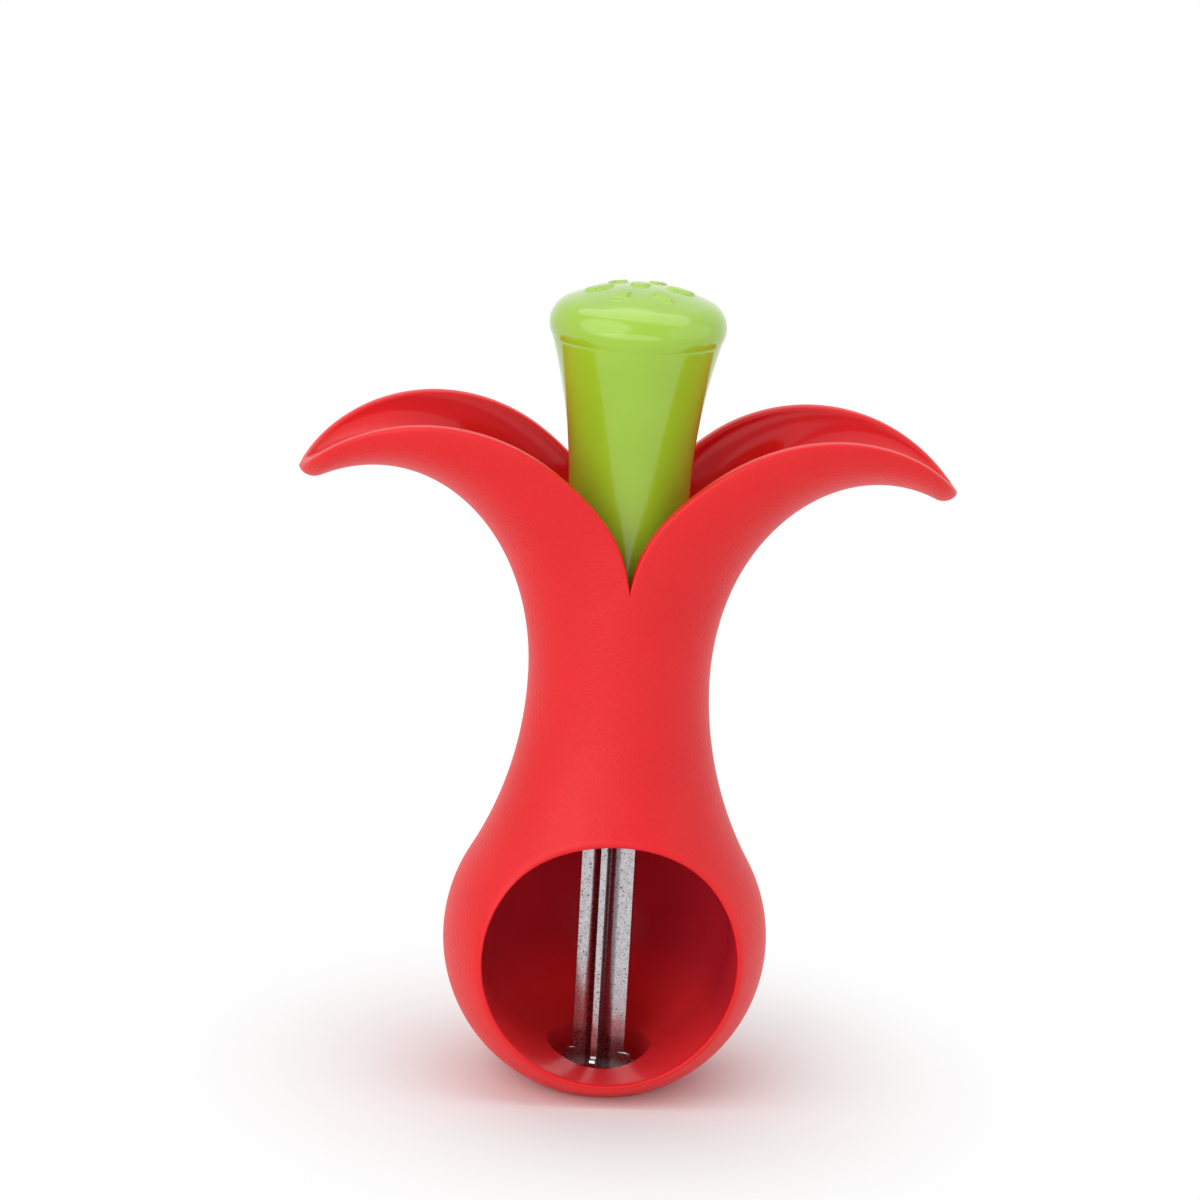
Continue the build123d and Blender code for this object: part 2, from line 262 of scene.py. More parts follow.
class Nodes:
    """Node tree of a material or of the world."""

    def __init__(self, owner: bpy.types.Material | bpy.types.World) -> None:
        """Start an empty tree.

        Args:
            owner: What the tree belongs to.
        """
        owner.use_nodes = True
        self.tree = owner.node_tree
        self.tree.nodes.clear()

    def node(self, kind: str, settings: dict[str, Any] | None = None,
             inputs: dict[Any, Any] | None = None) -> bpy.types.Node:
        """Add a node.

        Args:
            kind: The node's type.
            settings: Its properties, set before its sockets.
            inputs: Values, sockets or Values for its inputs, by name or number.

        Returns:
            The node.
        """
        node = self.tree.nodes.new(kind)
        for name, value in (settings or {}).items():
            setattr(node, name, value)
        for name, value in (inputs or {}).items():
            socket = value.socket if isinstance(value, Value) else value
            if isinstance(socket, bpy.types.NodeSocket):
                self.tree.links.new(socket, node.inputs[name])
            else:
                node.inputs[name].default_value = socket
        return node

    def showing_background(self) -> Value:
        """Tell the rays that show the background: from the camera, off gloss or through glass.

        Returns:
            1 on those rays, 0 on the others.
        """
        rays = self.node("ShaderNodeLightPath")
        camera, glossy, through = (
            Value(self, rays.outputs[f"Is {kind} Ray"]) for kind in ("Camera", "Glossy", "Transmission"))
        return (camera + glossy + through).step(0.0, 1.0)


class Shader(Nodes):
    """Node tree of one material, with its principled surface."""

    def __init__(self, name: str) -> None:
        """Start a tree that reads object coordinates.

        Args:
            name: The material's name.
        """
        self.material = bpy.data.materials.new(name)
        super().__init__(self.material)
        self.place = self.node("ShaderNodeTexCoord").outputs["Object"]

    def noise(self, size: float, detail: float = 2.0, roughness: float = 0.5,
              stretch: Triple = (1.0, 1.0, 1.0)) -> Value:
        """Add soft noise over the surface.

        Args:
            size: The size of its blotches in millimetres.
            detail: Number of finer layers.
            roughness: Weight of the finer layers.
            stretch: Share of the pattern's rate along X, Y and Z.

        Returns:
            The noise, about 0.5 on average.
        """
        place = self.node("ShaderNodeMapping", {}, {"Vector": self.place, "Scale": stretch}).outputs[0]
        node = self.node("ShaderNodeTexNoise", {}, {
            "Vector": place, "Scale": 1 / (size * MM), "Detail": detail, "Roughness": roughness})
        return Value(self, node.outputs[0])

    def height(self) -> Value:
        """Height above the floor, in metres."""
        return Value(self, self.node("ShaderNodeSeparateXYZ", {}, {0: self.place}).outputs["Z"])

    def radius(self) -> Value:
        """Work out how far the surface is from the Z axis.

        Returns:
            The distance, in metres.
        """
        flat = self.node("ShaderNodeVectorMath", {"operation": "MULTIPLY"}, {0: self.place, 1: (1, 1, 0)})
        length = self.node("ShaderNodeVectorMath", {"operation": "LENGTH"}, {0: flat.outputs[0]})
        return Value(self, length.outputs["Value"])

    def blend(self, share: Value, first: Any, second: Any) -> bpy.types.NodeSocket:
        """Mix two colours, with share of the second."""
        node = self.node("ShaderNodeMix", {"data_type": "RGBA"}, {0: share, 6: first, 7: second})
        return node.outputs[2]

    def bump(self, height: Value, depth: float) -> bpy.types.NodeSocket:
        """Tilt the surface as if height were carved that many millimetres deep."""
        node = self.node("ShaderNodeBump", {}, {"Height": height, "Distance": depth * MM, "Strength": 1.0})
        return node.outputs[0]

    def surface(self, **inputs: Any) -> bpy.types.Material:
        """Close the tree with a principled surface.

        Args:
            inputs: Values of its sockets, with underscores for the spaces in a socket's name.

        Returns:
            The material.
        """
        named = {name.replace("_", " "): value for name, value in inputs.items()}
        principled = self.node("ShaderNodeBsdfPrincipled", {}, named)
        self.node("ShaderNodeOutputMaterial", {}, {"Surface": principled.outputs[0]})
        return self.material


CLOUD_EDGE = 0.3
CLOUD_FADE = 0.4


@dataclass(frozen=True)
class GrainedPlastic:
    """Moulded plastic with the fine even grain of an etched mould. Millimetres."""

    name: str
    colour: Colour
    deep_colour: Colour
    roughness: float = 0.46
    shine: float = 0.4
    grain_size: float = 0.42
    grain_depth: float = 0.1
    grain_roughness: float = 0.12
    cloud_size: float = 14.0
    cloud_roughness: float = 0.06

    def material(self) -> bpy.types.Material:
        """Build it: colour clouds, grain in the relief, and polish that follows both.

        Returns:
            The material.
        """
        shader = Shader(self.name)
        clouds = shader.noise(self.cloud_size, detail=3.0)
        grain = shader.noise(self.grain_size, detail=1.5, roughness=0.6)
        return shader.surface(
            Base_Color=shader.blend(clouds.step(CLOUD_EDGE, CLOUD_FADE), self.colour, self.deep_colour),
            Specular_IOR_Level=self.shine,
            Roughness=(self.roughness + (grain - 0.5) * self.grain_roughness
                       + (clouds - 0.5) * self.cloud_roughness),
            Normal=shader.bump(grain, self.grain_depth),
        )


@dataclass(frozen=True)
class PolishedPlastic:
    """Moulded plastic with a polished skin, faint flow waves and a few rubbed spots. Millimetres."""

    name: str
    colour: Colour
    deep_colour: Colour
    roughness: float = 0.13
    wave_size: float = 7.0
    wave_depth: float = 0.012
    wave_stretch: float = 0.4
    rub_size: float = 0.9
    rub_edge: float = 0.55
    rub_fade: float = 0.2
    rub_roughness: float = 0.05
    shine: float = 0.5
    coat: float = 0.25
    coat_roughness: float = 0.06
    # Painted light: a lighter colour that the surface takes towards its bottom.
    low_painted_light: Colour | None = None
    low_top: float = 16.0

    def material(self) -> bpy.types.Material:
        """Build it: colour clouds, low waves in the relief, and slightly rubbed polish.

        With a low colour, which is painted light, colour and coat change as the surface rises from half of
        low_top
        to low_top: the lighter painted colour and the coat below, the main colour and no coat above.

        Returns:
            The material.
        """
        shader = Shader(self.name)
        clouds = shader.noise(self.wave_size * 2, detail=2.0)
        colour: Any = shader.blend(clouds.step(CLOUD_EDGE, CLOUD_FADE), self.colour, self.deep_colour)
        coat: Any = self.coat
        if self.low_painted_light:
            # Painted light: the colour turns lighter towards the bottom.
            half_way = self.low_top * MM / 2
            low = 1 - shader.height().step(half_way, half_way)
            colour, coat = shader.blend(low, colour, self.low_painted_light), low * self.coat
        waves = shader.noise(self.wave_size, detail=1.0, stretch=(1.0, 1.0, self.wave_stretch))
        rubs = shader.noise(self.rub_size, detail=3.0, roughness=0.65)
        return shader.surface(
            Base_Color=colour,
            Specular_IOR_Level=self.shine,
            Roughness=self.roughness + rubs.step(self.rub_edge, self.rub_fade) * self.rub_roughness,
            Normal=shader.bump(waves, self.wave_depth),
            Coat_Weight=coat,
            Coat_Roughness=self.coat_roughness,
        )


@dataclass(frozen=True)
class SatinSteel:
    """Stainless bar: satin faces with sparse dark specks, and painted shade close to the axis.

    Specks stand where a noise passes speck_peak less speck_share. Sizes are in millimetres.
    """

    name: str
    colour: Colour = srgb(202, 199, 202)
    dull_colour: Colour = srgb(186, 182, 187)
    speck_colour: Colour = srgb(72, 58, 56)
    roughness: float = 0.2
    mottle_size: float = 0.8
    mottle_edge: float = 0.35
    mottle_fade: float = 0.3
    speck_share: float = 0.15
    speck_size: float = 0.22
    speck_peak: float = 0.74
    speck_fade: float = 0.03
    speck_cover: float = 0.85
    speck_dulling: float = 0.4
    speck_roughness: float = 0.25
    speck_depth: float = 0.8
    # Painted shade: a darker colour close to the axis, for the shade and the dark chamber's reflection in
    # the hollow roots between the arms.
    root_shade_colour: Colour = srgb(96, 86, 98)
    root_shade_share: float = 0.75
    root_shade_radius: float = 1.62
    root_shade_fade: float = 0.42
    grain_size: float = 0.2
    grain_stretch: float = 0.12
    grain_depth: float = 0.003
    grain_roughness: float = 0.08

    def material(self) -> bpy.types.Material:
        """Build it: fine mottling, painted shade in the roots, specks where a noise peaks, a grain along Z.

        Returns:
            The material.
        """
        shader = Shader(self.name)
        grain = shader.noise(self.grain_size, detail=2.0, stretch=(1.0, 1.0, self.grain_stretch))
        mottle = shader.noise(self.mottle_size, detail=3.0, roughness=0.7)
        peaks = shader.noise(self.speck_size, detail=2.5, roughness=0.6)
        specks = peaks.step(self.speck_peak - self.speck_share, self.speck_fade)
        # Painted shade: darkens the colour close to the axis, in the hollow roots between the arms.
        root_shade = 1 - shader.radius().step(self.root_shade_radius * MM, self.root_shade_fade * MM)
        metal = shader.blend(mottle.step(self.mottle_edge, self.mottle_fade), self.colour, self.dull_colour)
        metal = shader.blend(root_shade * self.root_shade_share, metal, self.root_shade_colour)
        return shader.surface(
            Base_Color=shader.blend(specks * self.speck_cover, metal, self.speck_colour),
            Metallic=1.0 - specks * self.speck_dulling,
            Roughness=(self.roughness + (grain - 0.5) * self.grain_roughness
                       + specks * self.speck_roughness),
            Normal=shader.bump(grain - specks * self.speck_depth, self.grain_depth),
        )


Finish = GrainedPlastic | PolishedPlastic | SatinSteel


RED_GRAINED = GrainedPlastic("red_grained", srgb(226, 16, 24), srgb(220, 12, 20))
RED_EDGE = PolishedPlastic("red_edge", srgb(228, 16, 24), srgb(223, 13, 21), roughness=0.4, shine=0.38,
                           coat=0.0)
RED_POLISHED = PolishedPlastic("red_polished", srgb(222, 14, 25), srgb(214, 11, 22), roughness=0.12,
                               wave_size=5.0, wave_depth=0.03, shine=0.17, coat=0.0)
# Painted shade and light: the chamber is the body's red plastic, painted darker and bluer for the shade
# inside it, and lighter towards its bottom where more light falls.
RED_CHAMBER_SHADED = PolishedPlastic("red_chamber_shaded", srgb(198, 38, 54), srgb(189, 34, 50), roughness=0.3,
                              shine=0.08, coat=0.11, low_painted_light=srgb(232, 48, 54))
GREEN_POLISHED = PolishedPlastic("green_polished", srgb(156, 199, 46), srgb(150, 192, 40), roughness=0.16,
                                 coat=0.45)
GUIDE_PLASTIC = GrainedPlastic("guide_plastic", srgb(168, 14, 20), srgb(156, 12, 18), roughness=0.38)
STEEL_FACE = SatinSteel("steel_face")
STEEL_EDGE = SatinSteel("steel_edge", colour=srgb(222, 220, 222), roughness=0.16, speck_share=0.06)


def dress(mesh: bpy.types.Mesh, node: str, body: Body, slot: Slot, *finishes: Finish) -> bpy.types.Object:
    """Turn a mesh into a piece that stands for a node and rides on its body.

    Args:
        mesh: The finished mesh; the piece takes its name.
        node: The node that it stands for.
        body: The body that it moves with.
        slot: The record's slot that its finish comes from. Not used.
        finishes: One finish for each zone.

    Returns:
        The piece.
    """
    piece = bpy.data.objects.new(mesh.name, mesh)
    bpy.context.scene.collection.objects.link(piece)
    for finish in finishes:
        mesh.materials.append(finish.material())
    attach(piece, body.value)
    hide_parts(node)
    return piece


def repaint(node: str, finish: Finish) -> None:
    """Give a node of the frame its finish, with its shape left alone.

    Args:
        node: The node's name.
        finish: Its new finish.
    """
    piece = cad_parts[node]
    piece.data.materials.clear()
    piece.data.materials.append(finish.material())
    log.info("node %s painted %s", node, finish.name)


@dataclass
class RedMoulding:
    """The body: bulb with its chamber, neck and two petals, in one skin. Half of it is worked out.

    A turn is an angle about Z, from 0 at -Y to pi at +Y.  A sweep is an angle about the chamber's own
    Y axis, from 0 at the bottom to pi at the top.  A fan angle opens about the petal's axis, in degrees.
    """

    ball_radius: float = 22.0
    ring_radius: float = 9.2
    bulb_wall: float = 5.0
    chamber_rise: float = 0.416
    pit_hole_radius: float = 7.0
    waist_radius: float = 12.15
    waist_height: float = 57.0
    petal_wall: float = 1.9
    floor_height: float = 41.5
    bore_corner: float = 1.2
    guide_hole_radius: float = 4.88
    recess_radius: float = 6.58
    recess_height: float = 39.3

    crest_reach: float = 33.0
    crest_depth: float = 9.7
    rim_rise: float = 1.681
    notch_angle: float = 22.5
    fan_angle: float = 39.0
    taper_angle: float = 55.0
    tip_drop: float = 8.6
    tip_angle: float = 111.3
    tip_closing_angle: float = 106.2
    half_width: float = 13.8
    widest_angle: float = 60.0
    flare_angle: float = 33.0
    hollow_end_angle: float = 109.0
    hollow_closing_angle: float = 103.4

    lip: float = 0.5
    lip_fade_angle: float = 4.0
    lip_least_depth: float = 0.25
    lip_steepest: float = 0.45
    lip_wall_share: float = 0.4
    window_lip: float = 1.35
    skirt_height: float = 0.25
    neck_start: float = 44.0
    ring_sweep: float = math.radians(40)
    back_reach: float = 14.0

    turn_steps: int = 80
    side_steps: int = 64
    skin_steps: int = 30
    neck_steps: int = 18
    lip_steps: int = 12
    chamber_steps: int = 18
    back_steps: int = 22
    window_steps: tuple[int, int] = (20, 104)
    ring_steps: tuple[int, int] = (44, 16)
    petal_steps: tuple[int, int] = (24, 110)
    tip_crowding: float = 1.6

    skin: Skin = field(default_factory=Skin)
    ball_height: float = field(init=False)
    chamber_radius: float = field(init=False)
    chamber_height: float = field(init=False)
    turns: Points = field(init=False)
    sweeps: Points = field(init=False)

    def __post_init__(self) -> None:
        """Work out the ball's and the chamber's places, and the angles that the sheets follow."""
        self.ball_height = math.sqrt(self.ball_radius**2 - self.ring_radius**2)
        self.chamber_radius = self.ball_radius - self.bulb_wall
        self.chamber_height = self.ball_height + self.chamber_rise
        self.turns = np.linspace(0, math.pi, self.turn_steps + 1)
        short, long = self.window_steps
        low = np.linspace(0, self.ring_sweep, short + 1)
        middle = np.linspace(self.ring_sweep, math.pi - self.ring_sweep, long + 1)
        self.sweeps = np.concatenate((low, middle[1:], math.pi - low[::-1][1:]))

    def outer_radius(self, height: Points) -> Points:
        """Skin's distance from the axis: the ball's circle, then the arc from ball to waist.

        The arc touches the ball and is upright at the waist, so its radius is
        (waist^2 + rise^2 - ball^2) / (2 (ball - waist)), with rise from the ball's centre to the waist.

        Args:
            height: Heights above the floor.

        Returns:
            A distance for each height.
        """
        rise = self.waist_height - self.ball_height
        flare = (self.waist_radius**2 + rise**2 - self.ball_radius**2) / (
            2 * (self.ball_radius - self.waist_radius))
        shoulder = self.ball_height + rise * self.ball_radius / (self.ball_radius + flare)
        ball = np.sqrt(np.maximum(self.ball_radius**2 - (height - self.ball_height) ** 2, 0))
        neck = self.waist_radius + flare - np.sqrt(flare**2 - (self.waist_height - height) ** 2)
        return np.where(height < shoulder, ball, neck)

    def skin_point(self, turn: Points, height: Points) -> Points:
        """Point of the outer skin at a turn and a height."""
        return turned(self.outer_radius(height), height, turn)

    def chamber_point(self, sweep: Points, reach: Points) -> Points:
        """Point of the chamber's wall: a cylinder along Y, closed by half a ball at the back.

        Args:
            sweep: Angles about the chamber's own axis.
            reach: y in front of the Z axis, and the length of arc over the ball behind it.

        Returns:
            The points.
        """
        lean = np.maximum(reach, 0) / self.chamber_radius
        across = self.chamber_radius * np.cos(lean)
        y = np.where(reach < 0, reach, self.chamber_radius * np.sin(lean))
        return np.stack(
            (across * np.sin(sweep), y, self.chamber_height - across * np.cos(sweep)), axis=-1)

    def chamber_circle(self, radius: float, above: bool) -> tuple[Points, Points]:
        """Lay a circle about Z on the chamber's floor or ceiling.

        Args:
            radius: The circle's radius.
            above: Whether it lies on the ceiling.

        Returns:
            Its sweep and its reach, at every turn.
        """
        x, y = radius * np.sin(self.turns), -radius * np.cos(self.turns)
        reach = np.where(y < 0, y, self.chamber_radius * np.arcsin(y / self.chamber_radius))
        across = self.chamber_radius * np.cos(np.maximum(reach, 0) / self.chamber_radius)
        sweep = np.arcsin(x / across)
        return (math.pi - sweep if above else sweep), reach

    def window_edge(self, grow: float) -> tuple[Points, Points]:
        """Outline of the window on the skin: a circle in the X-Z plane.

        Args:
            grow: How much larger than the chamber the circle is.

        Returns:
            Its turn and its height, at every sweep.
        """
        radius = self.chamber_radius + grow
        height = self.chamber_height - radius * np.cos(self.sweeps)
        return np.arcsin(radius * np.sin(self.sweeps) / self.outer_radius(height)), height

    def add_bulb(self) -> None:
        """Add the outer skin: a ring of rows round the window, the back, and the neck above."""
        half = self.turn_steps // 2
        heights = np.linspace(self.skirt_height, self.neck_start, self.side_steps + 1)
        turns = self.turns[: half + 1]
        inner = np.stack(self.window_edge(self.window_lip))
        outer = np.concatenate((
            np.stack((turns, np.full(half + 1, self.skirt_height))),
            np.stack((np.full(self.side_steps, math.pi / 2), heights[1:])),
            np.stack((turns[::-1][1:], np.full(half, self.neck_start)))), axis=1)
        ring = between(inner.T, outer.T, self.skin_steps)
        self.skin.add(self.skin_point(ring[..., 0], ring[..., 1]))
        self.skin.add(self.skin_point(self.turns[half:][None, :], heights[:, None]))
        neck = np.linspace(self.neck_start, self.waist_height, self.neck_steps + 1)[:, None]
        self.skin.add(self.skin_point(self.turns[None, :], neck))

    def add_lip(self) -> None:
        """Add the rounded edge between the skin and the chamber, all along the window."""
        start = self.skin_point(*self.window_edge(self.window_lip))
        corner = self.skin_point(*self.window_edge(0))
        end = corner + (0, self.window_lip, 0)
        self.skin.add(rounded(start, corner, end, self.lip_steps), Zone.EDGE)

    def add_wall(self, sweep: Points, reach: Points) -> None:
        """Add a sheet of the chamber's wall."""
        self.skin.add(self.chamber_point(sweep, reach), Zone.CHAMBER)

    def add_chamber(self) -> None:
        """Add the chamber: a ring of rows round each hole, the wall between them, and the back."""
        short = self.window_steps[0]
        side, far = self.ring_steps
        edge = self.skin_point(*self.window_edge(0))[:, 1] + self.window_lip
        shares = np.linspace(0, 1, side + 1)
        share = np.linspace(0, 1, self.chamber_steps + 1)[:, None]
        for above in (False, True):
            sweeps, front = (self.sweeps[::-1], edge[::-1]) if above else (self.sweeps, edge)
            radius = self.recess_radius if above else self.pit_hole_radius + self.lip
            turning = sweeps[short]
            path_sweep = np.concatenate((
                sweeps[: short + 1], np.full(side, turning), np.linspace(turning, sweeps[0], far + 1)[1:]))
            path_reach = np.concatenate((
                front[: short + 1], front[short] + shares[1:] * (self.back_reach - front[short]),
                np.full(far, self.back_reach)))
            sweep, reach = self.chamber_circle(radius, above)
            self.add_wall(sweep + share * (path_sweep - sweep), reach + share * (path_reach - reach))
        wall_sweeps, wall_edge = self.sweeps[short:-short, None], edge[short:-short, None]
        self.add_wall(wall_sweeps + 0 * shares, wall_edge + shares * (self.back_reach - wall_edge))
        low = np.linspace(0, self.ring_sweep, far + 1)
        back_sweeps = np.concatenate((low, self.sweeps[short + 1:-short], math.pi - low[::-1][1:]))
        pole = self.chamber_radius * math.pi / 2
        back = np.linspace(self.back_reach, pole, self.back_steps + 1)[:, None]
        self.add_wall(back_sweeps + 0 * back, back + 0 * back_sweeps)

    def add_base(self) -> None:
        """Add the pit hole's wall with its rounded ends, and the flat ring that the bulb stands on."""
        hole, ring, lip = self.pit_hole_radius, self.ring_radius, self.lip
        top_corner = self.chamber_point(*self.chamber_circle(hole, False))
        wall_top = top_corner - (0, 0, lip)
        rim = self.chamber_point(*self.chamber_circle(hole + lip, False))
        self.skin.add(rounded(rim, top_corner, wall_top), Zone.CHAMBER)
        skirt_radius = float(self.outer_radius(np.array(self.skirt_height)))
        foot = np.array(((hole, lip), (hole, 0), (hole + lip, 0), (ring - lip, 0), (ring, 0),
                         (skirt_radius, self.skirt_height)))
        rings = revolve(foot, self.turns)
        self.skin.add(between(wall_top, rings[0], 6), Zone.CHAMBER)
        self.skin.add(rounded(rings[0], rings[1], rings[2]), Zone.CHAMBER)
        self.skin.add(between(rings[2], rings[3], 3))
        self.skin.add(rounded(rings[3], rings[4], rings[5]))

    def add_bore(self) -> None:
        """Add the neck's bore with its floor, the guide's hole and the recess for its flange."""
        bore, corner, floor = self.waist_radius - self.petal_wall, self.bore_corner, self.floor_height
        hole, recess = self.guide_hole_radius, self.recess_height
        profile = chain(
            line(((bore, self.waist_height), (bore, floor + corner)), 16),
            arc((bore - corner, floor + corner), corner, 0, -90, 6),
            line(((bore - corner, floor), (hole, floor), (hole, recess), (self.recess_radius, recess)),
                 4, 2, 2))
        rings = revolve(profile, self.turns)
        self.skin.add(rings, Zone.INNER)
        ceiling = self.chamber_point(*self.chamber_circle(self.recess_radius, True))
        self.skin.add(between(rings[-1], ceiling, 2), Zone.CHAMBER)

    def rim_distance(self, angle: Points) -> Points:
        """Rim's distance from the fan axis: round, drawn in by squares to the notch and to the tip.

        Args:
            angle: Fan angles.

        Returns:
            A distance for each.
        """
        round_part = self.crest_reach / math.cos(math.radians(self.notch_angle)) + self.rim_rise
        dip = np.maximum(0, self.fan_angle - angle) / (self.fan_angle - self.notch_angle)
        taper = np.maximum(0, angle - self.taper_angle) / (self.tip_angle - self.taper_angle)
        return round_part - self.rim_rise * dip**2 - self.tip_drop * taper**2

    def section_centre(self, angle: Points) -> Points:
        """Distance to a section's upper edge: the middle plane below the notch, then the rim."""
        plane = self.crest_reach / np.cos(np.radians(np.minimum(angle, self.notch_angle)))
        return np.where(angle < self.notch_angle, plane, self.rim_distance(angle))

    def section_depth(self, angle: Points) -> Points:
        """Depth of the petal's section: its upper edge less the underside, an ellipse about the axis.

        Args:
            angle: Fan angles.

        Returns:
            A depth for each.
        """
        tilt = np.radians(angle)
        rise = float(self.rim_distance(np.array(self.fan_angle))) - self.crest_depth
        across = np.cos(tilt) / (self.crest_reach - self.waist_radius)
        underside = 1 / np.sqrt(across**2 + (np.sin(tilt) / rise) ** 2)
        return self.section_centre(angle) - underside

    def section_half_width(self, angle: Points) -> Points:
        """Half the petal's width: the waist's, an eased swell, then a quarter ellipse to the tip.

        Args:
            angle: Fan angles.

        Returns:
            Half a width for each.
        """
        swell = ease((angle - self.flare_angle) / (self.widest_angle - self.flare_angle))
        along = np.clip((angle - self.widest_angle) / (self.tip_angle - self.widest_angle), 0, 1)
        root = self.waist_radius + (self.half_width - self.waist_radius) * swell
        return np.where(angle < self.widest_angle, root, self.half_width * np.sqrt(1 - along**2))

    def fan_point(self, angle: Points, distance: Points, across: Points) -> Points:
        """Point at a fan angle, a distance from the fan axis and a distance across the petal."""
        tilt = np.radians(angle)
        return np.stack((
            self.crest_reach - distance * np.cos(tilt), across,
            self.waist_height + distance * np.sin(tilt)), axis=-1)

    @staticmethod
    def closing(angle: Points, start: float, end: float) -> Points:
        """Factor that stays 1 up to a start angle and falls to 0 at the end as a quarter circle."""
        return np.sqrt(1 - np.clip((angle - start) / (end - start), 0, 1) ** 2)

    def tip_depth(self, angle: Points) -> Points:
        """Depth of the outer section with its round tip."""
        return self.section_depth(angle) * self.closing(angle, self.tip_closing_angle, self.tip_angle)

    def add_petal(self) -> None:
        """Add the petal: an outer and an inner half pipe, joined by a lip with rounded corners.

        A section is the lower half of an ellipse: half_width cos(s) across and depth sin(s) inside the
        upper edge.  Close to the tip it shrinks by the root of 1 - u^2, so that the end is round.
        """
        low, high = self.petal_steps
        rising = 1 - (1 - np.linspace(0, 1, high + 1)[1:]) ** self.tip_crowding
        outer_angle = np.concatenate((
            np.linspace(0, self.notch_angle, low + 1),
            self.notch_angle + (self.tip_angle - self.notch_angle) * rising))
        inner_angle = np.concatenate((
            outer_angle[: low + 1],
            self.notch_angle + (self.hollow_end_angle - self.notch_angle) * rising))
        fade = self.lip * ease((outer_angle - self.notch_angle) / self.lip_fade_angle)
        inner_round = self.closing(inner_angle, self.hollow_closing_angle, self.hollow_end_angle)
        shells = []
        for angle, half_width, depth, zone in (
            (outer_angle, self.section_half_width(outer_angle), self.tip_depth(outer_angle), Zone.OUTER),
            (inner_angle, (self.section_half_width(inner_angle) - self.petal_wall) * inner_round,
             (self.tip_depth(inner_angle) - self.petal_wall) * inner_round, Zone.INNER),
        ):
            centre = self.section_centre(angle)
            steepness = fade / np.maximum(depth, self.lip_least_depth)
            lift = np.arcsin(np.minimum(steepness, self.lip_steepest))
            sweep = lift[:, None] + np.linspace(0, 1, self.turn_steps + 1) * (math.pi - 2 * lift[:, None])
            sheet = self.fan_point(
                angle[:, None], centre[:, None] - depth[:, None] * np.sin(sweep),
                -half_width[:, None] * np.cos(sweep))
            self.skin.add(sheet, zone)
            shells.append((sheet[low:, 0], self.fan_point(angle, centre, -half_width)[low:]))
        (outer_start, outer_corner), (inner_start, inner_corner) = shells
        gap = np.linalg.norm(inner_corner - outer_corner, axis=1, keepdims=True)
        step = (inner_corner - outer_corner) / gap * np.minimum(fade[low:, None], self.lip_wall_share * gap)
        for strip in (rounded(outer_start, outer_corner, outer_corner + step),
                      between(outer_corner + step, inner_corner - step, 2),
                      rounded(inner_corner - step, inner_corner, inner_start)):
            self.skin.add(strip, Zone.EDGE)
            self.skin.add(strip * (1, -1, 1), Zone.EDGE)

    def build(self) -> bpy.types.Object:
        """Make the half, mirror it, and dress the whole.

        Returns:
            The piece.
        """
        self.add_bulb()
        self.add_lip()
        self.add_chamber()
        self.add_base()
        self.add_bore()
        self.add_petal()
        self.skin.mirror()
        return dress(self.skin.mesh("petal_body_shell"), "petal_body", Body.MOULDING, Slot.RED,
                     RED_GRAINED, RED_POLISHED, RED_EDGE, RED_CHAMBER_SHADED)


